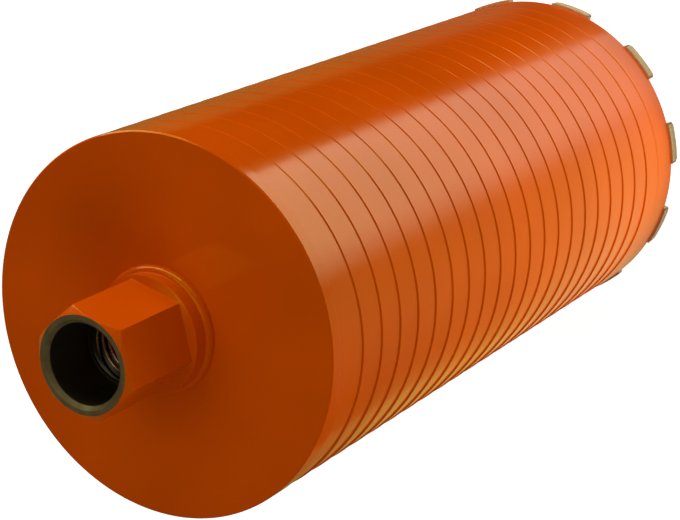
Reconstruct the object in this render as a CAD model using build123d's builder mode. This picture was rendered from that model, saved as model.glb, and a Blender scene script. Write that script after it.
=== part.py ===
from build123d import *
from math import atan2, ceil, cos, degrees, radians, sin, tan
import os

# Diamond core bit, standing on its cutting segments with the drive hub on top.
# Millimetres. +Z points up out of the hub's mouth, and the origin is the centre of
# the ring on which the segments stand. One STEP file is written for each piece.
os.makedirs("parts", exist_ok=True)

# ---------------------------------------------------------------- driving dimensions
# Cutting ring
cut_diameter = 165.0          # over the outer faces of the segments
segment_count = 11
segment_arc = 22.0            # length of a segment along its outer face
segment_width = 5.0           # radial thickness, which is the width of the kerf
segment_height = 7.0
segment_overhang = 1.0        # how far a segment stands outside the tube
segment_corner = 2.0          # bevel at the two ends of the crown
segment_clock = 1.0           # direction of the first segment, in degrees from +X

# Body: steel tube closed by a flush end plate
body_length = 348.5           # from the plate's outer face to the rim with the segments
tube_wall = 3.5
plate_flange = 6.0            # part of the plate that caps the tube
plate_register = 4.0          # part of the plate that sits inside the tube
plate_edge = 0.6              # bevel round the plate's outer edge
register_clearance = 0.1      # radial, plate in tube

# Helical relief: a single-start shoulder, facing the hub, with a taper all the way up
# to the next turn's shoulder
relief_pitch = 15.35
relief_depth = 0.7
relief_overrun = 0.3          # how far a taper runs on past the shoulder of the next turn
relief_top = 17.1             # plate's outer face to the upper end of the full depth
relief_bottom = 19.9          # tube's rim to the lower end of the full depth
relief_clock = 45.0           # direction of that lower end, in degrees from +X
relief_runout = 75.0          # turn over which the shoulder fades at each end, degrees

# Hub: round bar with six milled flats, bored and tapped right through
hub_diameter = 50.0
hub_height = 51.0             # plate's outer face to the mouth
across_flats = 41.0
flat_clock = 5.0              # direction of the first flat, in degrees from +X
flat_margin = 5.0             # how far the mill reaches beyond the bar
ledge_height = 10.0           # plate's outer face to the shoulder where the flats end
mouth_land = 20.35            # outer radius of the bare ring at the mouth
mouth_slope = 42.0            # angle of the cone outside that ring, from the mouth
spigot_diameter = 40.0
spigot_clearance = 0.1        # radial, hub in plate
thread_diameter = 31.75       # major diameter of the 1 1/4 inch drive thread
counterbore_diameter = 33.5
counterbore_depth = 26.0
mouth_chamfer = 1.6

# Weld bead round the foot of the hub
bead_width = 2.0
bead_height = 3.5

# ---------------------------------------------------------------- derived places
cut_radius = cut_diameter / 2
tube_radius = cut_radius - segment_overhang
bore_radius = tube_radius - tube_wall
rim_z = segment_height
plate_top = rim_z + body_length
tube_top = plate_top - plate_flange
plate_bottom = tube_top - plate_register
mouth_z = plate_top + hub_height
ledge_z = plate_top + ledge_height
hub_radius = hub_diameter / 2
spigot_radius = spigot_diameter / 2
thread_radius = thread_diameter / 2
counterbore_radius = counterbore_diameter / 2
counterbore_z = mouth_z - counterbore_depth
segment_pitch = 360 / segment_count
segment_half = degrees(segment_arc / cut_radius) / 2


def radial_plane(height, clock):
    """Upright half-plane through the axis: x runs outward, y runs up."""
    outward = Vector(cos(radians(clock)), sin(radians(clock)), 0)
    tangent = Vector(-sin(radians(clock)), cos(radians(clock)), 0)
    return Plane(origin=(0, 0, height), x_dir=outward, z_dir=-tangent)


def turn_plane(height, clock, upward):
    """Level plane whose x runs outward, for a helix that climbs or descends from it."""
    outward = Vector(cos(radians(clock)), sin(radians(clock)), 0)
    return Plane(origin=(0, 0, height), x_dir=outward, z_dir=(0, 0, 1 if upward else -1))


# ---------------------------------------------------------------- barrel with its relief
relief_width = relief_pitch + relief_overrun
cutter_margin = 0.5           # how far the cutter reaches beyond the tube
fade_margin = 0.1             # how far clear of the tube a fade ends
relief_reach = relief_depth + cutter_margin
relief_low = rim_z + relief_bottom
relief_climb = plate_top - relief_top - relief_low
relief_high_clock = relief_clock + 360 * relief_climb / relief_pitch
fade_climb = relief_pitch * relief_runout / 360
fade_angle = degrees(atan2(relief_depth, fade_climb))
fade_height = fade_climb * (relief_depth + fade_margin) / relief_depth
root_radius = tube_radius - relief_depth

# One stroke of the cutter for each turn, then the fades below and above them, where the
# same cutter moves outward until it has left the tube.
turn_count = ceil(relief_climb / relief_pitch)
turn_climb = relief_climb / turn_count
strokes = []
for index in range(turn_count):
    turn_clock = relief_clock + 360 * index * turn_climb / relief_pitch
    strokes.append((relief_low + index * turn_climb, turn_clock, True, turn_climb, 0))
strokes.append((relief_low, relief_clock, False, fade_height, fade_angle))
strokes.append((relief_low + relief_climb, relief_high_clock, True, fade_height, fade_angle))

with BuildPart() as barrel:
    with BuildSketch(Plane.XY.offset(rim_z)):
        Circle(tube_radius)
        Circle(bore_radius, mode=Mode.SUBTRACT)
    extrude(amount=tube_top - rim_z)

    # Where each stroke starts, its direction from the axis, whether it climbs, how far,
    # and how fast the cutter leaves the tube.
    for height, clock, upward, climb, angle in strokes:
        with BuildLine() as turn:
            course = Helix(
                pitch=relief_pitch / cos(radians(angle)),
                height=climb,
                radius=root_radius,
                cone_angle=angle,
                mode=Mode.PRIVATE,
            )
            add(turn_plane(height, clock, upward) * course)
        with BuildSketch(radial_plane(height, clock)):
            with BuildLine():
                Polyline(
                    (root_radius, 0),
                    (root_radius + relief_reach, 0),
                    (root_radius + relief_reach, relief_width * relief_reach / relief_depth),
                    close=True,
                )
            make_face()
        sweep(path=turn.line, is_frenet=True, mode=Mode.SUBTRACT)

barrel.part.label = "barrel"
export_step(barrel.part, "parts/barrel.step")

# ---------------------------------------------------------------- end plate
with BuildPart() as end_plate:
    with BuildSketch(Plane.XY.offset(tube_top)):
        Circle(tube_radius)
    extrude(amount=plate_flange)
    chamfer(end_plate.edges().group_by(Axis.Z)[-1], length=plate_edge)
    with BuildSketch(Plane.XY.offset(plate_bottom)):
        Circle(bore_radius - register_clearance)
    extrude(amount=plate_register)
    with BuildSketch(Plane.XY.offset(plate_bottom)):
        Circle(spigot_radius + spigot_clearance)
    extrude(amount=plate_flange + plate_register, mode=Mode.SUBTRACT)

end_plate.part.label = "end_plate"
export_step(end_plate.part, "parts/end_plate.step")

# ---------------------------------------------------------------- hub
mouth_cone = (hub_radius - mouth_land) * tan(radians(mouth_slope))

with BuildPart() as hub:
    with BuildSketch(Plane.XZ):
        with BuildLine():
            Polyline(
                (thread_radius, plate_bottom),
                (spigot_radius, plate_bottom),
                (spigot_radius, plate_top),
                (hub_radius, plate_top),
                (hub_radius, mouth_z - mouth_cone),
                (mouth_land, mouth_z),
                (counterbore_radius + mouth_chamfer, mouth_z),
                (counterbore_radius, mouth_z - mouth_chamfer),
                (counterbore_radius, counterbore_z),
                (thread_radius, counterbore_z),
                close=True,
            )
        make_face()
    revolve(axis=Axis.Z)

    # Flats milled from the mouth down to the round shoulder.
    with BuildSketch(Plane.XY.offset(ledge_z)):
        Circle(hub_radius + flat_margin)
        RegularPolygon(
            radius=across_flats / 2,
            side_count=6,
            major_radius=False,
            rotation=flat_clock + 30,
            mode=Mode.SUBTRACT,
        )
    extrude(amount=mouth_z - ledge_z, mode=Mode.SUBTRACT)

hub.part.label = "hub"
export_step(hub.part, "parts/hub.step")

# ---------------------------------------------------------------- weld bead
with BuildPart() as hub_weld:
    with BuildSketch(Plane.XZ):
        with BuildLine():
            Polyline(
                (hub_radius, plate_top),
                (hub_radius + bead_width, plate_top),
                (hub_radius, plate_top + bead_height),
                close=True,
            )
        make_face()
    revolve(axis=Axis.Z)

hub_weld.part.label = "hub_weld"
export_step(hub_weld.part, "parts/hub_weld.step")

# ---------------------------------------------------------------- cutting segments
for index in range(segment_count):
    centre = segment_clock + index * segment_pitch
    first = centre - segment_half
    with BuildPart() as segment:
        with BuildSketch():
            with BuildLine():
                outer = CenterArc((0, 0), cut_radius, first, 2 * segment_half)
                inner = CenterArc((0, 0), cut_radius - segment_width, first, 2 * segment_half)
                Line(outer @ 0, inner @ 0)
                Line(outer @ 1, inner @ 1)
            make_face()
        extrude(amount=segment_height)
        crown_ends = segment.edges().group_by(Axis.Z)[0].filter_by(GeomType.LINE)
        chamfer(crown_ends, length=segment_corner)
    segment.part.label = f"segment_{index + 1:02d}"
    export_step(segment.part, f"parts/{segment.part.label}.step")
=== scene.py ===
import math
from functools import partialmethod

import bmesh
import bpy
from bpy.props import FloatProperty, FloatVectorProperty, IntProperty, PointerProperty
from mathutils import Matrix, Vector


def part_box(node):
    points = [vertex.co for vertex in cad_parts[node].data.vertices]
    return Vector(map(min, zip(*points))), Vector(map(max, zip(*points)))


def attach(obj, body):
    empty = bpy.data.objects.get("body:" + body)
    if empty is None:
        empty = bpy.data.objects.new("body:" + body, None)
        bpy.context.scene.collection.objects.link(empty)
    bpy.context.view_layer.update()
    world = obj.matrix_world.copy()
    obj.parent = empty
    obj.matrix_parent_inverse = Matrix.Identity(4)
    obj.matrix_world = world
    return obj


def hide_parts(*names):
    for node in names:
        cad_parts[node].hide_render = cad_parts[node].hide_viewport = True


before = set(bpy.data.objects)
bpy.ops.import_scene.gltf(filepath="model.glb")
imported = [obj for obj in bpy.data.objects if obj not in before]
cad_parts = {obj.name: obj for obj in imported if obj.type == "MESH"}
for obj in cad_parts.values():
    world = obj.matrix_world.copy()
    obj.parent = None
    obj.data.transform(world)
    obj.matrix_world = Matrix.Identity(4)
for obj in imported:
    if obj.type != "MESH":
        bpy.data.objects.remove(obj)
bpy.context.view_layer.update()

bl_info = {
    "name": "Core Bit Finisher",
    "version": (1, 0, 0),
    "blender": (4, 5, 0),
    "location": "3D View > Sidebar > Core Bit",
    "description": "Gives the packed core bit its turned barrel, thread, weld and finishes",
    "category": "Mesh",
}

MM = 0.001
TURN = 2 * math.pi
BODY = "root"
SEGMENTS = sorted(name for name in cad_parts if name.startswith("segment_"))

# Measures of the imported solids, from which the finer pieces are made.
BARREL_LOW, BARREL_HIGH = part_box("barrel")
WELD_LOW, WELD_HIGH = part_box("hub_weld")
HUB_LOW, HUB_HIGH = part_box("hub")
TUBE_RADIUS = BARREL_HIGH.x
RIM_HEIGHT = BARREL_LOW.z
TUBE_TOP = BARREL_HIGH.z
PLATE_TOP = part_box("end_plate")[1].z
HUB_RADIUS = HUB_HIGH.x
MOUTH_HEIGHT = HUB_HIGH.z
CROWN_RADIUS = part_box(SEGMENTS[0])[1].x


# ------------------------------------------------------------------ settings
class ReliefSizes(bpy.types.PropertyGroup):
    """Sizes of the barrel's helical relief."""

    pitch: FloatProperty(
        name="Pitch", description="Rise of the shoulder in one turn",
        default=15.35 * MM, unit="LENGTH",
    )
    depth: FloatProperty(
        name="Depth", description="Height of the shoulder where the relief is deepest",
        default=0.7 * MM, unit="LENGTH",
    )
    overrun: FloatProperty(
        name="Overrun", description="How far a taper runs on past the next shoulder",
        default=0.3 * MM, unit="LENGTH",
    )
    top_gap: FloatProperty(
        name="Top gap", description="Plate's outer face to the upper end of the full depth",
        default=17.1 * MM, unit="LENGTH",
    )
    rim_gap: FloatProperty(
        name="Rim gap", description="Rim to the lower end of the full depth",
        default=19.9 * MM, unit="LENGTH",
    )
    clock: FloatProperty(
        name="Clock", description="Direction of the lower end of the full depth",
        default=math.radians(45), subtype="ANGLE",
    )
    runout: FloatProperty(
        name="Run-out", description="Turn over which the shoulder fades at each end",
        default=math.radians(75), subtype="ANGLE",
    )
    uneven: FloatProperty(
        name="Unevenness", description="Share of the depth by which it sways each way",
        default=0.38, min=0, max=1,
    )
    deepest: FloatProperty(
        name="Deepest", description="Direction in which the relief is deepest",
        default=math.radians(-70), subtype="ANGLE",
    )
    crest: FloatProperty(
        name="Crest", description="Break of the shoulder's crest under the paint",
        default=0.22 * MM, unit="LENGTH",
    )
    root: FloatProperty(
        name="Root", description="Paint gathered in the root of the shoulder",
        default=0.55 * MM, unit="LENGTH",
    )
    wall: FloatProperty(
        name="Wall", description="Thickness of the tube",
        default=3.5 * MM, unit="LENGTH",
    )
    steps: IntProperty(
        name="Steps", description="Columns of the skin in one turn", default=180, min=24,
    )


class HubSizes(bpy.types.PropertyGroup):
    """Sizes of the hub's thread, mouth and weld."""

    thread_radius: FloatProperty(
        name="Major radius", description="Radius of the threaded wall",
        default=15.875 * MM, unit="LENGTH",
    )
    crest_radius: FloatProperty(
        name="Minor radius", description="Radius of the thread's crests",
        default=13.9 * MM, unit="LENGTH",
    )
    thread_pitch: FloatProperty(
        name="Thread pitch", description="Rise of the thread in one turn, 7 to the inch",
        default=25.4 * MM / 7, unit="LENGTH",
    )
    counterbore: FloatProperty(
        name="Counterbore", description="Mouth to the start of the thread",
        default=26.0 * MM, unit="LENGTH",
    )
    bare_radius: FloatProperty(
        name="Bare radius", description="Radius within which the mouth has no paint",
        default=20.35 * MM, unit="LENGTH",
    )
    bead_middle: FloatProperty(
        name="Bead middle", description="Hub's side to the middle of the weld bead",
        default=0.15 * MM, unit="LENGTH",
    )
    bead_centre: FloatProperty(
        name="Bead centre", description="Plate to the centre of the weld bead",
        default=1.0 * MM, unit="LENGTH",
    )
    ledge: FloatProperty(
        name="Ledge", description="Plate to the ledges at the foot of the flats",
        default=10.0 * MM, unit="LENGTH",
    )
    ledge_slope: FloatProperty(
        name="Ledge slope", description="Fall of a ledge over its width", default=0.35,
    )
    across_flats: FloatProperty(
        name="Across flats", description="Width of the hexagon",
        default=41.0 * MM, unit="LENGTH",
    )
    ripples: IntProperty(
        name="Ripples", description="Ripples in the weld bead", default=54, min=3,
    )


class FinishColours(bpy.types.PropertyGroup):
    """Colours of the finishes."""

    paint: FloatVectorProperty(
        name="Paint", description="Orange paint", subtype="COLOR", size=3,
        default=(0.80, 0.096, 0.0), min=0, max=1,
    )
    sheen: FloatVectorProperty(
        name="Sheen", description="Tint of the paint's reflection", subtype="COLOR", size=3,
        default=(1.0, 1.0, 0.0), min=0, max=1,
    )
    steel: FloatVectorProperty(
        name="Steel", description="Machined steel", subtype="COLOR", size=3,
        default=(0.23, 0.165, 0.07), min=0, max=1,
    )
    bond: FloatVectorProperty(
        name="Bond", description="Sintered bond of the segments", subtype="COLOR", size=3,
        default=(0.77, 0.54, 0.23), min=0, max=1,
    )


class StudioSizes(bpy.types.PropertyGroup):
    """Camera, floor and lamps."""

    lens: FloatProperty(name="Lens", description="Focal length, mm", default=107.99)
    eye: FloatVectorProperty(
        name="Eye", description="Place of the camera", subtype="XYZ", unit="LENGTH",
        default=(0.49280, 0.19283, 0.99072), size=3,
    )
    forward: FloatVectorProperty(
        name="Forward", description="Direction of view", subtype="XYZ",
        default=(-0.52316, -0.21333, -0.82510), size=3,
    )
    upright: FloatVectorProperty(
        name="Upright", description="Direction that is up in the picture", subtype="XYZ",
        default=(0.0, 0.96816, -0.25032), size=3,
    )
    fill: FloatProperty(name="Fill", description="Strength of the even light", default=0.04)
    gloss: FloatProperty(
        name="Gloss", description="Strength of what the paint reflects", default=1.0,
    )
    paper: FloatProperty(
        name="Paper", description="Brightness of the ground to the eye", default=0.85,
    )
    box_edge: FloatProperty(
        name="Softbox edge", description="Place of the softbox's hard edge",
        default=54 * MM, unit="LENGTH",
    )


class SegmentSizes(bpy.types.PropertyGroup):
    """Sizes of the cutting segments."""

    arc: FloatProperty(
        name="Arc", description="Length of a segment along its outer face",
        default=22.0 * MM, unit="LENGTH",
    )
    width: FloatProperty(
        name="Width", description="Radial thickness of a segment",
        default=5.0 * MM, unit="LENGTH",
    )
    corner: FloatProperty(
        name="Corner", description="Bevel at the two ends of the crown",
        default=2.0 * MM, unit="LENGTH",
    )
    clock: FloatProperty(
        name="Clock", description="Direction of the first segment",
        default=math.radians(1), subtype="ANGLE",
    )
    rough: FloatProperty(
        name="Roughness", description="How far the sintered faces sink between the grains",
        default=0.28 * MM, unit="LENGTH",
    )
    edge: FloatProperty(
        name="Edge", description="Wear of the edges", default=0.3 * MM, unit="LENGTH",
    )
    grain: FloatProperty(
        name="Grain", description="Radius of a diamond grain",
        default=0.14 * MM, unit="LENGTH",
    )
    crowd: FloatProperty(
        name="Crowd", description="Diamond grains on a square metre of face", default=5.0e5,
    )


GROUPS = {
    "core_segments": SegmentSizes,
    "core_relief": ReliefSizes,
    "core_hub": HubSizes,
    "core_colours": FinishColours,
    "core_studio": StudioSizes,
}


# ------------------------------------------------------------------ node helpers
class Wires:
    """Adds nodes to a tree and wires them, for geometry and for shaders alike."""

    def __init__(self, tree):
        self.tree = tree

    def node(self, kind, **settings):
        """A new node with these settings."""
        made = self.tree.nodes.new(kind)
        for key, value in settings.items():
            setattr(made, key, value)
        return made

    def put(self, socket, value):
        """Links or sets a socket. None leaves it as it is."""
        if isinstance(value, bpy.types.NodeSocket):
            self.tree.links.new(value, socket)
        elif value is not None:
            socket.default_value = value

    def fill(self, made, values):
        """Gives a node's inputs their values by name."""
        for label, value in values.items():
            self.put(made.inputs[label], value)
        return made

    def result(self, kind, *values, **settings):
        """The first output of a new node whose inputs take these values in order."""
        made = self.node(kind, **settings)
        for socket, value in zip(made.inputs, values):
            self.put(socket, value)
        return made.outputs[0]

    def calc(self, operation, *values, clamp=False):
        return self.result("ShaderNodeMath", *values, operation=operation, use_clamp=clamp)

    add = partialmethod(calc, "ADD")
    sub = partialmethod(calc, "SUBTRACT")
    mul = partialmethod(calc, "MULTIPLY")
    div = partialmethod(calc, "DIVIDE")

    def xyz(self, x, y, z):
        return self.result("ShaderNodeCombineXYZ", x, y, z)

    def split(self, vector):
        made = self.node("ShaderNodeSeparateXYZ")
        self.put(made.inputs[0], vector)
        return made.outputs

    def from_axis(self, place):
        """The distance of a place from the axis."""
        x, y, _ = self.split(place)
        return self.calc("SQRT", self.add(self.mul(x, x), self.mul(y, y)))

    def between(self, value, low, high, to_low=0.0, to_high=1.0, smooth=False):
        """Maps low and high to two other values, and holds what lies past them."""
        kind = "SMOOTHSTEP" if smooth else "LINEAR"
        return self.result(
            "ShaderNodeMapRange", value, low, high, to_low, to_high, interpolation_type=kind,
        )

    def noise(self, place, scale, detail=3.0, roughness=0.5):
        made = self.fill(self.node("ShaderNodeTexNoise"), {
            "Vector": place, "Scale": scale, "Detail": detail, "Roughness": roughness,
        })
        return made.outputs[0]

    def wander(self, place, scale, reach):
        """A value that strays either way from 0, by up to a reach."""
        return self.between(self.noise(place, scale), 0.3, 0.7, -reach, reach)

    def mix(self, factor, first, second):
        """A colour that goes from the first to the second as the factor goes from 0 to 1."""
        made = self.node("ShaderNodeMix", data_type="RGBA")
        self.put(made.inputs[0], factor)
        for socket, value in ((made.inputs[6], first), (made.inputs[7], second)):
            linked = isinstance(value, bpy.types.NodeSocket)
            self.put(socket, value if linked else (*value[:3], 1.0))
        return made.outputs[2]


class Builder(Wires):
    """A geometry node tree with named inputs, which makes one plain mesh."""

    def __init__(self, name, floats, whole):
        """Takes the names of the inputs that hold sizes, and of those that hold counts."""
        super().__init__(bpy.data.node_groups.new(name, "GeometryNodeTree"))
        face = self.tree.interface
        face.new_socket(name="Geometry", in_out="OUTPUT", socket_type="NodeSocketGeometry")
        self.sockets = {}
        for kind, labels in (("Float", floats), ("Int", whole), ("Material", ("Material",))):
            for label in labels:
                made = face.new_socket(
                    name=label, in_out="INPUT", socket_type="NodeSocket" + kind,
                )
                self.sockets[label] = made.identifier
        self.entry = self.node("NodeGroupInput")

    def given(self, *labels):
        """The named input, or a list of them."""
        found = [self.entry.outputs[label] for label in labels]
        return found if len(found) > 1 else found[0]

    def cells(self, columns, rows):
        """A grid of points. Returns its mesh, and the column and the row of each point."""
        mesh = self.result("GeometryNodeMeshGrid", 1.0, 1.0, columns, rows)
        place = self.split(self.node("GeometryNodeInputPosition").outputs[0])
        last = self.sub(columns, 1.0)
        column = self.calc("ROUND", self.mul(self.add(place[0], 0.5), last))
        row = self.calc("ROUND", self.mul(self.add(place[1], 0.5), rows - 1.0))
        return mesh, column, row

    def pick(self, row, values):
        """The value that stands at the place of the row."""
        made = self.node("GeometryNodeIndexSwitch", data_type="FLOAT")
        for _ in range(len(values) - len(made.index_switch_items)):
            made.index_switch_items.new()
        self.put(made.inputs[0], row)
        for socket, value in zip(list(made.inputs)[1:], values):
            self.put(socket, value)
        return made.outputs[0]

    def around(self, mesh, radius, angle, height):
        """Puts each point of a mesh at a radius, an angle and a height."""
        spot = self.xyz(
            self.mul(radius, self.calc("COSINE", angle)),
            self.mul(radius, self.calc("SINE", angle)),
            height,
        )
        return self.result("GeometryNodeSetPosition", mesh, None, spot)

    def join(self, *meshes):
        both = self.node("GeometryNodeJoinGeometry")
        for mesh in meshes:
            self.put(both.inputs[0], mesh)
        return both.outputs[0]

    def finish(self, mesh, gap):
        """Welds what meets, and ends the tree."""
        weld = self.fill(self.node("GeometryNodeMergeByDistance"), {
            "Geometry": mesh, "Distance": gap,
        })
        real = self.result("GeometryNodeRealizeInstances", weld.outputs[0])
        coat = self.fill(self.node("GeometryNodeSetMaterial"), {
            "Geometry": real, "Material": self.given("Material"),
        })
        self.put(self.node("NodeGroupOutput").inputs[0], coat.outputs[0])

    def run(self, name, values):
        """Runs the tree with these inputs and returns the result as a plain mesh's object."""
        host = in_scene(name, bpy.data.meshes.new(name))
        modifier = host.modifiers.new(name, "NODES")
        modifier.node_group = self.tree
        for label, value in values.items():
            modifier[self.sockets[label]] = value
        graph = bpy.context.evaluated_depsgraph_get()
        mesh = bpy.data.meshes.new_from_object(host.evaluated_get(graph))
        host.modifiers.remove(modifier)
        host.data = mesh
        return host


# ------------------------------------------------------------------ finishes
PAINT_ROUGH_AT_RIM, PAINT_ROUGH_AT_PLATE = 0.23, 0.13
LATHE_FEED = 0.45 * MM
RECESS_SHADE = 0.12                  # share of the steel's colour left as painted shade in the bore and the thread's roots
EDGE_SHADE = 0.15               # share of the bond's colour left as painted shade at the segments' edges
CHAMFER_FOOT = 2.2 * MM     # mouth to just below its inner chamfer


def shade(colour, share):
    """A colour made darker or lighter by a share, and held within 1."""
    return [min(1.0, channel * share) for channel in colour]


def new_finish(name):
    """A material, its wires, its surface shader and the place of each point."""
    material = bpy.data.materials.new(name)
    material.use_nodes = True
    wires = Wires(material.node_tree)
    wires.tree.nodes.clear()
    surface = wires.node("ShaderNodeBsdfPrincipled")
    wires.put(wires.node("ShaderNodeOutputMaterial").inputs[0], surface.outputs[0])
    place = wires.node("ShaderNodeTexCoord").outputs["Object"]
    return material, wires, surface, place


def bump(wires, height, distance, strength):
    made = wires.fill(wires.node("ShaderNodeBump"), {
        "Strength": strength, "Distance": distance, "Height": height,
    })
    return made.outputs[0]


def paint_look(wires, place, colour):
    """Colour, roughness and orange peel of the sprayed paint."""
    drift = wires.between(wires.noise(place, 14.0, detail=2.0), 0.35, 0.65)
    tone = wires.mix(drift, shade(colour, 0.93), shade(colour, 1.05))
    # The paint lies smoother towards the plate.
    height = wires.split(place)[2]
    rough = wires.add(
        wires.wander(place, 70.0, 0.03),
        wires.between(height, RIM_HEIGHT, PLATE_TOP, PAINT_ROUGH_AT_RIM, PAINT_ROUGH_AT_PLATE),
    )
    return tone, rough, wires.noise(place, 420.0, detail=2.0)


def steel_look(wires, place, colour):
    """Colour and roughness of machined steel with a light stain."""
    stain = wires.noise(place, 160.0, detail=4.0, roughness=0.6)
    tone = wires.mix(wires.between(stain, 0.35, 0.7), colour, shade(colour, 0.6))
    return tone, wires.between(stain, 0.3, 0.7, 0.30, 0.48)


def paint_finish(colours):
    material, wires, surface, place = new_finish("orange_paint")
    tone, rough, peel = paint_look(wires, place, colours.paint)
    wires.fill(surface, {
        "Base Color": tone,
        "Roughness": rough,
        "Normal": bump(wires, peel, distance=0.08 * MM, strength=0.15),
        "Specular Tint": (*colours.sheen, 1.0),
    })
    return material


def hub_finish(colours, sizes):
    """Paint on the flats, and bare steel in the mouth and the bore."""
    material, wires, surface, place = new_finish("hub_paint_and_steel")
    paint, paint_rough, peel = paint_look(wires, place, colours.paint)
    steel, steel_rough = steel_look(wires, place, colours.steel)
    radius, height = wires.from_axis(place), wires.split(place)[2]
    chamfer_foot = MOUTH_HEIGHT - CHAMFER_FOOT

    # The paint ends in a ragged line round the mouth.
    reach = wires.add(radius, wires.wander(place, 900.0, 0.12 * MM))
    mouth = wires.mul(
        wires.calc("LESS_THAN", reach, sizes.bare_radius),
        wires.calc("GREATER_THAN", height, chamfer_foot),
    )
    bore = wires.calc("LESS_THAN", reach, sizes.thread_radius + 1.4 * MM)
    bare = wires.calc("MAXIMUM", mouth, bore)
    painted = wires.sub(1.0, bare)

    # Painted shade: the bore below the mouth's chamfer is darkened.
    painted_bore_shade = wires.between(height, MOUTH_HEIGHT - 1.4 * MM, chamfer_foot)
    steel = wires.mix(wires.mul(painted_bore_shade, bore), steel, shade(colours.steel, RECESS_SHADE))
    rings = wires.calc("SINE", wires.mul(wires.add(radius, height), TURN / LATHE_FEED))
    relief = wires.add(wires.mul(peel, painted), wires.mul(rings, wires.mul(bare, 0.12)))
    wires.fill(surface, {
        "Base Color": wires.mix(bare, paint, steel),
        "Metallic": wires.mul(bare, 0.35),
        "Roughness": wires.add(wires.mul(paint_rough, painted), wires.mul(steel_rough, bare)),
        "Normal": bump(wires, relief, distance=0.12 * MM, strength=0.35),
        "Specular Tint": (*colours.sheen, 1.0),
    })
    return material


def steel_finish(colours):
    """The thread: crests lightened as a painted glint on top of polish from use, and roots
    darkened as painted shade.
    """
    material, wires, surface, place = new_finish("machined_steel")
    # The crests take a copy of the steel three times lighter, a painted glint.
    tone, rough = steel_look(wires, place, shade(colours.steel, 3))
    worn_and_painted_light = wires.between(wires.from_axis(place), 14.35 * MM, 14.05 * MM)
    grain = wires.noise(place, 2500.0, detail=2.0)
    wires.fill(surface, {
        "Base Color": wires.mix(worn_and_painted_light, shade(colours.steel, RECESS_SHADE), tone),
        "Roughness": wires.mul(rough, 0.65),
        "Normal": bump(wires, grain, distance=0.04 * MM, strength=0.4),
        "Metallic": 0.8,
    })
    return material


def bond_finish(colours):
    """The sintered bond: pits, grit, edges darkened as painted shade, and paint near the rim."""
    material, wires, surface, place = new_finish("sintered_bond")
    grain = wires.fill(wires.node("ShaderNodeTexVoronoi"), {"Vector": place, "Scale": 1800.0})
    grit = wires.between(grain.outputs["Distance"], 0.12, 0.2, 1.0, 0.0)
    pits = wires.noise(place, 1100.0, detail=4.0, roughness=0.6)
    bond = wires.mix(wires.between(pits, 0.35, 0.65), shade(colours.bond, 0.65), colours.bond)
    bond = wires.mix(wires.mul(grit, 0.6), bond, (0.85, 0.70, 0.36))
    worn_and_painted_light = wires.node("ShaderNodeAttribute", attribute_name="worn_and_painted_light").outputs["Fac"]
    # Painted shade: the worn edges are darkened.
    bond = wires.mix(wires.mul(worn_and_painted_light, 0.85), bond, shade(colours.bond, EDGE_SHADE))
    height = wires.add(wires.split(place)[2], wires.wander(place, 500.0, 0.3 * MM))
    spray = wires.between(height, RIM_HEIGHT - 0.5 * MM, RIM_HEIGHT + 0.2 * MM)
    relief = wires.add(pits, wires.mul(grit, 0.5))
    wires.fill(surface, {
        "Base Color": wires.mix(wires.mul(spray, 0.35), bond, colours.paint),
        "Roughness": wires.between(pits, 0.3, 0.7, 0.55, 0.8),
        "Normal": bump(wires, relief, distance=0.3 * MM, strength=0.8),
    })
    return material


def finish_named(name):
    """The finish of that name, made when it is first asked for."""
    scene = bpy.context.scene
    makers = {
        "orange_paint": lambda: paint_finish(scene.core_colours),
        "hub_paint_and_steel": lambda: hub_finish(scene.core_colours, scene.core_hub),
        "machined_steel": lambda: steel_finish(scene.core_colours),
        "sintered_bond": lambda: bond_finish(scene.core_colours),
    }
    return bpy.data.materials.get(name) or makers[name]()


# ------------------------------------------------------------------ mesh helpers
def in_scene(name, data):
    """A new object at the origin that holds this data."""
    made = bpy.data.objects.new(name, data)
    bpy.context.scene.collection.objects.link(made)
    return made


def turn_outwards(shape, mesh):
    """Turns a closed shape's faces outwards, and writes it to a mesh."""
    bmesh.ops.recalc_face_normals(shape, faces=shape.faces)
    shape.to_mesh(mesh)
    shape.free()


def smooth(mesh, sharp_from):
    """Shades a mesh smooth, but for the edges that turn by this many degrees or more."""
    mesh.shade_smooth()
    mesh.set_sharp_from_angle(angle=math.radians(sharp_from))


def close_ends(mesh, split_radius):
    """Joins the outer skin to the inner wall with a ring at each end."""
    shape = bmesh.new()
    shape.from_mesh(mesh)
    middle = (RIM_HEIGHT + TUBE_TOP) / 2
    rim = {point for edge in shape.edges if edge.is_boundary for point in edge.verts}
    for side in (-1, 1):
        here = [point for point in rim if (point.co.z - middle) * side > 0]
        here.sort(key=lambda point: math.atan2(point.co.y, point.co.x))
        outer = [point for point in here if point.co.xy.length > split_radius]
        inner = [point for point in here if point.co.xy.length < split_radius]
        for index in range(len(outer)):
            corners = (outer[index - 1], outer[index], inner[index], inner[index - 1])
            shape.faces.new(corners if side > 0 else corners[::-1])
    turn_outwards(shape, mesh)


def lathe(name, outline, columns, wobble):
    """A closed ring turned from an outline of radii and heights, each moved by wobble."""
    shape = bmesh.new()
    rings = []
    for column in range(columns):
        angle = TURN * column / columns
        ring = []
        for index, (radius, height) in enumerate(outline):
            moved = radius + wobble(index, angle)
            spot = (moved * math.cos(angle), moved * math.sin(angle), height)
            ring.append(shape.verts.new(spot))
        rings.append(ring)
    for column, ring in enumerate(rings):
        after = rings[(column + 1) % columns]
        for index in range(len(outline)):
            other = (index + 1) % len(outline)
            shape.faces.new((ring[index], after[index], after[other], ring[other]))
    mesh = bpy.data.meshes.new(name)
    turn_outwards(shape, mesh)
    return in_scene(name, mesh)


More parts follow.
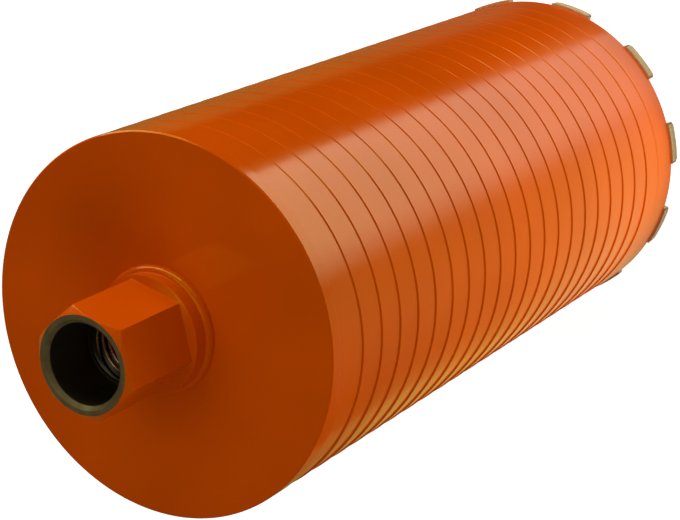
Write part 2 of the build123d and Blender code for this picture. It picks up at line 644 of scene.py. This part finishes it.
# ------------------------------------------------------------------ barrel
def relief_tree():
    """The barrel's skin: one strip of taper that climbs the tube, turn over turn."""
    tree = Builder("Helical relief", (
        "Tube Radius", "Bore Radius", "Rim Height", "Top Height", "Low Height", "High Angle",
        "Clock", "Pitch", "Depth", "Taper", "Run-out", "Crest", "Root", "Unevenness",
        "Deepest", "First Angle",
    ), ("Columns", "Steps per Turn"))
    given, calc = tree.given, tree.calc
    add, sub, mul, div = tree.add, tree.sub, tree.mul, tree.div
    pitch, crest, root, runout, uneven = given("Pitch", "Crest", "Root", "Run-out", "Unevenness")
    mesh, column, row = tree.cells(given("Columns"), 7)
    step = div(TURN, given("Steps per Turn"))
    angle = add(given("First Angle"), mul(column, step))

    # Rows 0 and 1 are the crest of the turn below, and the others belong to this turn.
    third = div(pitch, 3.0)
    below_crest = sub(pitch, crest)
    rise = tree.pick(row, (
        below_crest, pitch, 0.0, root, third, mul(third, 2.0), below_crest,
    ))
    shift = tree.pick(row, (0.0, mul(crest, -1.0), root, 0.0, 0.0, 0.0, 0.0))
    own_angle = sub(angle, mul(calc("LESS_THAN", row, 1.5), TURN))

    def fade(where):
        """The share of the depth, which runs out at each end."""
        start = div(add(where, runout), runout, clamp=True)
        left = sub(add(given("High Angle"), runout), where)
        return mul(start, div(left, runout, clamp=True))

    shoulder = calc("MULTIPLY_ADD", div(own_angle, TURN), pitch, given("Low Height"))
    wanted = add(shoulder, rise)
    height = calc("MINIMUM", calc("MAXIMUM", wanted, given("Rim Height")), given("Top Height"))
    on_tube = calc("COMPARE", height, wanted, 1e-6)
    left = sub(1.0, div(sub(height, shoulder), given("Taper")))
    heading = add(angle, given("Clock"))
    swing = calc("COSINE", sub(heading, given("Deepest")))
    share = add(sub(1.0, uneven), mul(swing, uneven))
    depth = mul(mul(given("Depth"), share), fade(own_angle))
    radius = sub(given("Tube Radius"), mul(depth, calc("MAXIMUM", left, 0.0)))
    radius = calc("MULTIPLY_ADD", mul(shift, on_tube), mul(share, fade(angle)), radius)
    skin = tree.around(mesh, radius, heading, height)

    wall, wall_column, wall_row = tree.cells(add(given("Steps per Turn"), 1.0), 2)
    heading = add(add(given("First Angle"), given("Clock")), mul(wall_column, step))
    end = tree.pick(wall_row, given("Rim Height", "Top Height"))
    inside = tree.around(wall, given("Bore Radius"), heading, end)
    tree.finish(tree.join(skin, inside), 0.03 * MM)
    return tree


class CORE_OT_barrel(bpy.types.Operator):
    """Turn the barrel with its helical relief"""

    bl_idname = "core.barrel"
    bl_label = "Barrel"

    def execute(self, context):
        sizes = context.scene.core_relief
        low = RIM_HEIGHT + sizes.rim_gap
        high = PLATE_TOP - sizes.top_gap
        first = (RIM_HEIGHT - sizes.pitch - low) / sizes.pitch * TURN
        last = (TUBE_TOP + sizes.crest - low) / sizes.pitch * TURN
        piece = relief_tree().run("barrel_skin", {
            "Tube Radius": TUBE_RADIUS,
            "Bore Radius": TUBE_RADIUS - sizes.wall,
            "Rim Height": RIM_HEIGHT,
            "Top Height": TUBE_TOP,
            "Low Height": low,
            "High Angle": (high - low) / sizes.pitch * TURN,
            "Clock": sizes.clock,
            "Pitch": sizes.pitch,
            "Depth": sizes.depth,
            "Taper": sizes.pitch + sizes.overrun,
            "Run-out": sizes.runout,
            "Crest": sizes.crest,
            "Root": sizes.root,
            "Unevenness": sizes.uneven,
            "Deepest": sizes.deepest,
            "First Angle": first,
            "Columns": math.ceil((last - first) / TURN * sizes.steps) + 2,
            "Steps per Turn": sizes.steps,
            "Material": finish_named("orange_paint"),
        })
        close_ends(piece.data, TUBE_RADIUS - sizes.wall / 2)
        smooth(piece.data, sharp_from=6.0)
        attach(piece, BODY)
        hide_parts("barrel")
        return {"FINISHED"}


# ------------------------------------------------------------------ hub
THREAD_STEPS = 72           # columns in one turn
# The thread's ridge in section, which closes on its first point: along the axis as a share
# of the pitch, and inwards as a share of its depth.
THREAD_RIDGE = (
    (0.44, 0.0), (0.14, 0.93), (0.10, 1.0), (-0.10, 1.0),
    (-0.14, 0.93), (-0.44, 0.0), (0.44, 0.0),
)
HUB_EDGE = 0.35 * MM        # break of the hub's edges
BEAD_STEPS, BEAD_COLUMNS = 14, 360
RIPPLE_DEPTH = 0.03 * MM


def thread_tree():
    """The drive thread: a ridge on the bore's wall that climbs with the pitch."""
    tree = Builder("Drive thread", (
        "Wall Radius", "Crest Radius", "Pitch", "First Height",
    ), ("Columns", "Steps per Turn", "Lead-in"))
    given, calc, sub, mul, div = tree.given, tree.calc, tree.sub, tree.mul, tree.div
    mesh, column, row = tree.cells(given("Columns"), len(THREAD_RIDGE))
    turns = div(column, given("Steps per Turn"))
    left = sub(sub(given("Columns"), 1.0), column)
    grow = div(calc("MINIMUM", column, left), given("Lead-in"), clamp=True)
    along, inward = (tree.pick(row, shares) for shares in zip(*THREAD_RIDGE))
    depth = mul(inward, sub(given("Wall Radius"), given("Crest Radius")))
    radius = sub(given("Wall Radius"), mul(depth, grow))
    height = calc("MULTIPLY_ADD", turns, given("Pitch"), given("First Height"))
    height = calc("MULTIPLY_ADD", mul(along, given("Pitch")), grow, height)
    tree.finish(tree.around(mesh, radius, mul(turns, TURN), height), 0.002 * MM)
    return tree


class CORE_OT_thread(bpy.types.Operator):
    """Cut the drive thread in the hub's bore"""

    bl_idname = "core.thread"
    bl_label = "Drive thread"

    def execute(self, context):
        sizes = context.scene.core_hub
        half = THREAD_RIDGE[0][0] * sizes.thread_pitch
        first = HUB_LOW.z + half
        last = MOUTH_HEIGHT - sizes.counterbore - half
        turns = (last - first) / sizes.thread_pitch
        piece = thread_tree().run("drive_thread", {
            "Wall Radius": sizes.thread_radius,
            "Crest Radius": sizes.crest_radius,
            "Pitch": sizes.thread_pitch,
            "First Height": first,
            "Columns": math.floor(turns * THREAD_STEPS) + 1,
            "Steps per Turn": THREAD_STEPS,
            "Lead-in": THREAD_STEPS // 4,
            "Material": finish_named("machined_steel"),
        })
        shape = bmesh.new()
        shape.from_mesh(piece.data)
        turn_outwards(shape, piece.data)
        smooth(piece.data, sharp_from=40.0)
        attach(piece, BODY)
        return {"FINISHED"}


class CORE_OT_hub(bpy.types.Operator):
    """Finish the hub: painted flats, bare mouth and bore"""

    bl_idname = "core.hub"
    bl_label = "Hub"

    def execute(self, context):
        sizes = context.scene.core_hub
        shape = bmesh.new()
        shape.from_mesh(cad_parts["hub"].data)
        bmesh.ops.remove_doubles(shape, verts=shape.verts, dist=0.002 * MM)

        # The ledges fall away outwards, by a share of their width.
        ledge = PLATE_TOP + sizes.ledge
        ledge_rim = [
            point for point in shape.verts
            if abs(point.co.z - ledge) < 0.05 * MM and point.co.xy.length > HUB_RADIUS - 0.2 * MM
        ]
        if not ledge_rim:
            raise RuntimeError("the hub has no ledge at that height")
        corner = sizes.across_flats / 2 / math.cos(math.radians(30))
        for point in ledge_rim:
            point.co.z -= sizes.ledge_slope * (HUB_RADIUS - corner)
        bmesh.ops.dissolve_limit(
            shape, angle_limit=math.radians(0.5), verts=shape.verts, edges=shape.edges,
        )
        mesh = bpy.data.meshes.new("hub_body")
        shape.to_mesh(mesh)
        shape.free()
        mesh.materials.clear()
        mesh.materials.append(finish_named("hub_paint_and_steel"))
        smooth(mesh, sharp_from=20.0)
        piece = in_scene("hub_body", mesh)
        edge = piece.modifiers.new("Edge", "BEVEL")
        edge.width = HUB_EDGE
        edge.segments = 3
        edge.limit_method = "ANGLE"
        edge.angle_limit = math.radians(20.0)
        edge.harden_normals = True
        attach(piece, BODY)
        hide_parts("hub")
        return {"FINISHED"}


class CORE_OT_weld(bpy.types.Operator):
    """Lay the weld bead round the hub's foot"""

    bl_idname = "core.weld"
    bl_label = "Weld bead"

    def execute(self, context):
        sizes = context.scene.core_hub
        middle = HUB_RADIUS + sizes.bead_middle
        width = WELD_HIGH.x - middle
        centre = WELD_LOW.z + sizes.bead_centre
        rise = WELD_HIGH.z - centre
        first = -math.asin(sizes.bead_centre / rise)
        last = math.pi - math.acos(sizes.bead_middle / width)
        outline = [(HUB_RADIUS, WELD_LOW.z)]
        for index in range(BEAD_STEPS + 1):
            angle = first + (last - first) * index / BEAD_STEPS
            outline.append((middle + width * math.cos(angle), centre + rise * math.sin(angle)))

        def wobble(index, angle):
            """The ripples, which leave the bead's foot and its edge on the hub alone."""
            if index in (0, 1, len(outline) - 1):
                return 0.0
            ripple = math.sin(sizes.ripples * angle + 0.6 * math.sin(3 * angle))
            return -RIPPLE_DEPTH * (1 + ripple)

        piece = lathe("weld_bead", outline, BEAD_COLUMNS, wobble)
        piece.data.materials.append(finish_named("orange_paint"))
        smooth(piece.data, sharp_from=50.0)
        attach(piece, BODY)
        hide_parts("hub_weld")
        return {"FINISHED"}


class CORE_OT_plate(bpy.types.Operator):
    """Paint the end plate"""

    bl_idname = "core.plate"
    bl_label = "End plate"

    def execute(self, context):
        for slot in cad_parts["end_plate"].material_slots:
            slot.material = finish_named("orange_paint")
        return {"FINISHED"}


# ------------------------------------------------------------------ segments
BLOCK_POINTS = (57, 13, 19)     # along the arc, across the wall and up
WORN_SHADED_ENDS, WORN_SHADED_SIDES, WORN_SHADED_CROWN = 0.46, 0.45, 0.43    # from the middle of a block of size 1


def segment_tree():
    """A sintered segment: a curved block with worn edges, a rough skin and grains."""
    tree = Builder("Cutting segment", (
        "Outer Radius", "Width", "Arc", "Height", "Corner", "Clock", "Roughness", "Edge",
        "Grain", "Crowd",
    ), ("Seed",))
    given, calc = tree.given, tree.calc
    add, sub, mul, div = tree.add, tree.sub, tree.mul, tree.div
    block = tree.result("GeometryNodeMeshCube", (1.0, 1.0, 1.0), *BLOCK_POINTS)
    along, across, up = tree.split(tree.node("GeometryNodeInputPosition").outputs[0])

    # A point is worn, and its colour darkened as painted shade, close to where two of the block's
    # free faces meet.
    ends = calc("GREATER_THAN", calc("ABSOLUTE", along), WORN_SHADED_ENDS)
    sides = calc("GREATER_THAN", calc("ABSOLUTE", across), WORN_SHADED_SIDES)
    crown = calc("LESS_THAN", up, -WORN_SHADED_CROWN)
    marked = tree.fill(
        tree.node("GeometryNodeStoreNamedAttribute", data_type="FLOAT", domain="POINT"), {
            "Geometry": block,
            "Name": "worn_and_painted_light",
            "Value": calc("GREATER_THAN", add(add(ends, sides), crown), 1.5),
        })

    height = mul(add(up, 0.5), given("Height"))
    cut = calc("MAXIMUM", sub(given("Corner"), height), 0.0)
    half = sub(mul(given("Arc"), 0.5), cut)
    turn = add(div(mul(mul(along, 2.0), half), given("Outer Radius")), given("Clock"))
    radius = sub(given("Outer Radius"), mul(add(across, 0.5), given("Width")))
    bent = tree.around(marked.outputs[0], radius, turn, height)

    # The skin sinks by a broad and a fine unevenness, and further at the worn edges.
    place = tree.node("GeometryNodeInputPosition").outputs[0]
    seed = mul(given("Seed"), 0.37)
    spot = tree.result("ShaderNodeVectorMath", place, tree.xyz(seed, seed, seed), operation="ADD")
    fine = tree.noise(spot, 900.0, roughness=0.6)
    broad = tree.noise(spot, 170.0, detail=2.0)
    worn_and_painted_light = tree.fill(tree.node("GeometryNodeInputNamedAttribute", data_type="FLOAT"), {
        "Name": "worn_and_painted_light",
    })
    sink = mul(add(mul(fine, 0.6), mul(broad, 0.7)), given("Roughness"))
    sink = calc("MULTIPLY_ADD", worn_and_painted_light.outputs[0], given("Edge"), sink)
    # Nothing sinks where the segment is joined to the rim.
    top = given("Height")
    free = tree.between(tree.split(place)[2], sub(top, 0.1 * MM), sub(top, 0.6 * MM))
    move = tree.fill(tree.node("ShaderNodeVectorMath", operation="SCALE"), {
        "Vector": tree.node("GeometryNodeInputNormal").outputs[0],
        "Scale": mul(mul(sink, free), -1.0),
    })
    skin = tree.result("GeometryNodeSetPosition", bent, None, None, move.outputs[0])

    # Diamond grains that stand out of the bond by less than it has sunk.
    scatter = tree.fill(tree.node("GeometryNodeDistributePointsOnFaces"), {
        "Mesh": skin,
        "Selection": calc("GREATER_THAN", free, 0.99),
        "Density": given("Crowd"),
        "Seed": given("Seed"),
    })
    grain = tree.fill(tree.node("GeometryNodeMeshIcoSphere"), {
        "Radius": given("Grain"), "Subdivisions": 1,
    })
    size = tree.node("FunctionNodeRandomValue", data_type="FLOAT")
    size.inputs[2].default_value = 0.5
    size.inputs[3].default_value = 1.0
    turned = tree.node("FunctionNodeRandomValue", data_type="FLOAT_VECTOR")
    turned.inputs[1].default_value = (6.28, 6.28, 6.28)
    grains = tree.fill(tree.node("GeometryNodeInstanceOnPoints"), {
        "Points": scatter.outputs["Points"],
        "Instance": grain.outputs[0],
        "Rotation": turned.outputs[0],
        "Scale": size.outputs[1],
    })
    tree.finish(tree.join(skin, grains.outputs[0]), 0.001 * MM)
    return tree


class CORE_OT_segments(bpy.types.Operator):
    """Make the cutting segments of sintered bond and grains"""

    bl_idname = "core.segments"
    bl_label = "Cutting segments"

    def execute(self, context):
        sizes = context.scene.core_segments
        tree = segment_tree()
        for index, name in enumerate(SEGMENTS):
            piece = tree.run("bond_" + name[-2:], {
                "Outer Radius": CROWN_RADIUS,
                "Width": sizes.width,
                "Arc": sizes.arc,
                "Height": RIM_HEIGHT,
                "Corner": sizes.corner,
                "Clock": sizes.clock + index * TURN / len(SEGMENTS),
                "Roughness": sizes.rough,
                "Edge": sizes.edge,
                "Grain": sizes.grain,
                "Crowd": sizes.crowd,
                "Seed": index + 3,
                "Material": finish_named("sintered_bond"),
            })
            smooth(piece.data, sharp_from=50.0)
            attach(piece, BODY)
            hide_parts(name)
        return {"FINISHED"}


# ------------------------------------------------------------------ stage
MIDDLE = Vector((0, 0, 0.2))    # what the standing lamps face
GROUND = 3 * MM                 # height of the lamps that lie on the ground
WHITE = (1, 1, 1, 1)
# How bright each part of the ground looks in the gloss, where white paper is 1.
GLOW_NEAR, GLOW_SIDE, GLOW_BEHIND, GLOW_RIGHT = 0.43, 0.29, 0.14, 0.22
GLOW_RIM = 0.65                 # share of the glow that is left right at the rim


def ring_place(clock, lift, reach=1.3):
    """A place round the part's middle, by its direction and its angle above the level."""
    angle, rise = math.radians(clock), math.radians(lift)
    return Vector((
        reach * math.cos(angle) * math.cos(rise),
        reach * math.sin(angle) * math.cos(rise),
        MIDDLE.z + reach * math.sin(rise),
    ))


# Name, x and y, size and strength of the softboxes that lie on the ground and face up.
GROUND_BOXES = (
    ("ground_box_low", (0.187, -0.135), (0.19, 0.23), 2.65),
    ("ground_box_side", (0.187, 0.09), (0.19, 0.22), 2.3),
    ("ground_box_under", (0.03, -0.2), (0.12, 0.22), 1.8),
    ("ground_box_right", (-0.04, -0.45), (0.3, 0.4), 3.0),
    ("ground_box_far", (0.575, -0.2), (0.65, 0.4), 3.5),
)
# Name, place, size, strength and show in gloss of the softboxes that face the middle.
STANDING_BOXES = (
    ("side_box_left", ring_place(120, 4), 0.8, 3.2, True),
    ("side_box", ring_place(90, 8), 0.8, 2.7, True),
    ("side_box_right", ring_place(60, 8), 0.8, 1.1, True),
    ("front_box", ring_place(-60, 45), 0.8, 1.5, False),
    ("top_box", (0, 0.4, 1.6), 1.0, 1.2, True),
)


def area_lamp(name, place, facing, size, strength, in_gloss=False):
    """A softbox that faces a point. A strength of 1 is as bright as white paper."""
    data = bpy.data.lights.new(name, "AREA")
    data.shape = "RECTANGLE"
    data.size, data.size_y = size
    data.energy = strength * math.pi * size[0] * size[1]
    lamp = in_scene(name, data)
    back = (Vector(place) - Vector(facing)).normalized()
    upright = Vector((0, 1, 0)) if abs(back.z) > 0.99 else Vector((0, 0, 1))
    side = upright.cross(back).normalized()
    turned = Matrix((side, back.cross(side), back)).transposed().to_4x4()
    lamp.matrix_world = Matrix.Translation(place) @ turned
    lamp.visible_camera = False
    lamp.visible_glossy = in_gloss


def softbox_glow(wires, x, y, reach, box_edge):
    """The softbox in the gloss: a hard straight edge on one side, a soft one on the other."""
    lean, pivot = 0.115, 77 * MM
    past_edge = wires.sub(x, wires.calc("MULTIPLY_ADD", y, lean, box_edge - lean * pivot))
    hard = wires.between(past_edge, -3 * MM, 3 * MM)
    bearing = wires.calc("ARCTAN2", y, x)
    soft = wires.between(bearing, math.radians(-5), math.radians(28), smooth=True)
    end = wires.between(reach, 0.45, 0.40)
    return wires.mul(
        wires.mul(wires.mul(hard, soft), end), wires.between(reach, 0.10, 0.32, 1.15, 2.3),
    )


def ground_glow(wires, x, y, reach):
    """The bright ground in the gloss: the share close to the barrel's foot, and the whole."""
    near = wires.between(reach, 0.17, 0.085, 0.0, GLOW_NEAR, smooth=True)
    side = wires.between(y, -0.34, 0.01, 0.0, GLOW_SIDE, smooth=True)
    below = wires.calc("MAXIMUM", wires.mul(y, -0.9), 0.0)
    ahead = wires.between(wires.add(x, below), 0.035, 0.075, smooth=True)
    behind = wires.mul(
        wires.between(wires.calc("MULTIPLY_ADD", x, 0.79, y), 0.105, 0.081),
        wires.between(x, 0.02, 0.0),
    )
    right = wires.mul(wires.between(x, 0.09, 0.0), wires.between(y, -0.08, -0.14))
    ground = wires.add(
        wires.mul(wires.add(near, side), ahead), wires.mul(behind, GLOW_BEHIND),
    )
    far_right = wires.mul(right, wires.between(reach, 0.28, 0.22, 0.0, GLOW_RIGHT))
    return near, wires.add(ground, far_right)


def floor_finish(sizes):
    """White to the eye, dim to other light, with a softbox's glow in what is glossy."""
    material = bpy.data.materials.new("pale_floor")
    material.use_nodes = True
    wires = Wires(material.node_tree)
    wires.tree.nodes.clear()
    place = wires.node("ShaderNodeTexCoord").outputs["Object"]
    x, y, _ = wires.split(place)
    reach = wires.from_axis(place)

    # The ground's glow is warm, and warmer away from the barrel's foot.
    # Painted reflection: the floor emits a softbox's glow that only glossy rays see.
    box = softbox_glow(wires, x, y, reach, sizes.box_edge)
    near, ground = ground_glow(wires, x, y, reach)
    tint = wires.mix(wires.mul(near, 2.3, clamp=True), (1, 1, 0.22), (1, 1, 0.5))
    rim = wires.between(reach, 0.083, 0.095, GLOW_RIM, 1.0)
    strength = wires.mul(wires.mul(wires.calc("MAXIMUM", box, ground), rim), sizes.gloss)
    glow = wires.result(
        "ShaderNodeEmission", wires.mix(wires.between(box, 0.0, 1.0), tint, WHITE), strength,
    )

    # Other light finds a dim floor that is bright only round the barrel's foot.
    dim = wires.result("ShaderNodeBsdfDiffuse", (0.15, 0.15, 0.15, 1))
    # Painted glow: the floor emits light round the barrel's foot for diffuse rays, in place of
    # bounce light.
    foot = wires.result("ShaderNodeEmission", WHITE, wires.between(reach, 0.11, 0.09))
    other = wires.result("ShaderNodeAddShader", dim, foot)
    matt = wires.result("ShaderNodeBsdfDiffuse", (0.85, 0.85, 0.85, 1))
    lit = wires.result("ShaderNodeEmission", WHITE, sizes.paper)
    seen = wires.result("ShaderNodeAddShader", matt, lit)
    path = wires.node("ShaderNodeLightPath")
    unseen = wires.result("ShaderNodeMixShader", path.outputs["Is Glossy Ray"], other, glow)
    pick = wires.result("ShaderNodeMixShader", path.outputs["Is Camera Ray"], unseen, seen)
    wires.put(wires.node("ShaderNodeOutputMaterial").inputs[0], pick)
    return material


def studio_world(sizes):
    """White to the eye, and dim for all other light."""
    world = bpy.data.worlds.new("studio")
    world.use_nodes = True
    wires = Wires(world.node_tree)
    wires.tree.nodes.clear()
    path = wires.node("ShaderNodeLightPath")
    dim = wires.result("ShaderNodeBackground", WHITE, sizes.fill)
    seen = wires.result("ShaderNodeBackground", WHITE, 1.0)
    pick = wires.result("ShaderNodeMixShader", path.outputs["Is Camera Ray"], dim, seen)
    wires.put(wires.node("ShaderNodeOutputWorld").inputs[0], pick)
    return world


class CORE_OT_studio(bpy.types.Operator):
    """Set the floor, the lamps and the camera"""

    bl_idname = "core.studio"
    bl_label = "Studio"

    def execute(self, context):
        scene = context.scene
        sizes = scene.core_studio

        shape = bmesh.new()
        bmesh.ops.create_circle(shape, cap_ends=True, segments=96, radius=6.0)
        mesh = bpy.data.meshes.new("floor")
        shape.to_mesh(mesh)
        shape.free()
        mesh.materials.append(floor_finish(sizes))
        floor = in_scene("floor", mesh)
        scene.world = studio_world(sizes)

        for name, (x, y), size, strength in GROUND_BOXES:
            area_lamp(name, (x, y, GROUND), (x, y, 1), size, strength)
        for name, place, size, strength, in_gloss in STANDING_BOXES:
            area_lamp(name, place, MIDDLE, (size, size), strength, in_gloss)

        forward = Vector(sizes.forward).normalized()
        side = forward.cross(Vector(sizes.upright)).normalized()
        turned = Matrix((side, side.cross(forward), -forward)).transposed().to_4x4()
        data = bpy.data.cameras.new("camera")
        data.sensor_fit = "HORIZONTAL"
        data.sensor_width = 36.0
        data.lens = sizes.lens
        data.clip_end = 50.0
        camera = in_scene("camera", data)
        camera.matrix_world = Matrix.Translation(Vector(sizes.eye)) @ turned
        bpy.context.scene.camera = camera
        scene.view_settings.view_transform = "Standard"
        return {"FINISHED"}


# ------------------------------------------------------------------ add-on
OPERATORS = (
    CORE_OT_barrel, CORE_OT_plate, CORE_OT_hub, CORE_OT_thread,
    CORE_OT_weld, CORE_OT_segments, CORE_OT_studio,
)


class CORE_PT_sidebar(bpy.types.Panel):
    """Lists the pieces and their settings"""

    bl_idname = "CORE_PT_sidebar"
    bl_label = "Core Bit"
    bl_space_type = "VIEW_3D"
    bl_region_type = "UI"
    bl_category = "Core Bit"

    def draw(self, context):
        for operator in OPERATORS:
            self.layout.operator(operator.bl_idname)
        for name, group in GROUPS.items():
            box = self.layout.box()
            for key in group.__annotations__:
                box.prop(getattr(context.scene, name), key)


def register():
    for name, group in GROUPS.items():
        bpy.utils.register_class(group)
        setattr(bpy.types.Scene, name, PointerProperty(type=group))
    for operator in OPERATORS:
        bpy.utils.register_class(operator)
    bpy.utils.register_class(CORE_PT_sidebar)


def unregister():
    bpy.utils.unregister_class(CORE_PT_sidebar)
    for operator in reversed(OPERATORS):
        bpy.utils.unregister_class(operator)
    for name, group in reversed(GROUPS.items()):
        delattr(bpy.types.Scene, name)
        bpy.utils.unregister_class(group)


def main():
    register()
    bpy.ops.core.barrel()
    bpy.ops.core.plate()
    bpy.ops.core.hub()
    bpy.ops.core.thread()
    bpy.ops.core.weld()
    bpy.ops.core.segments()
    bpy.ops.core.studio()
    bpy.context.view_layer.update()


if __name__ == "__main__":
    main()
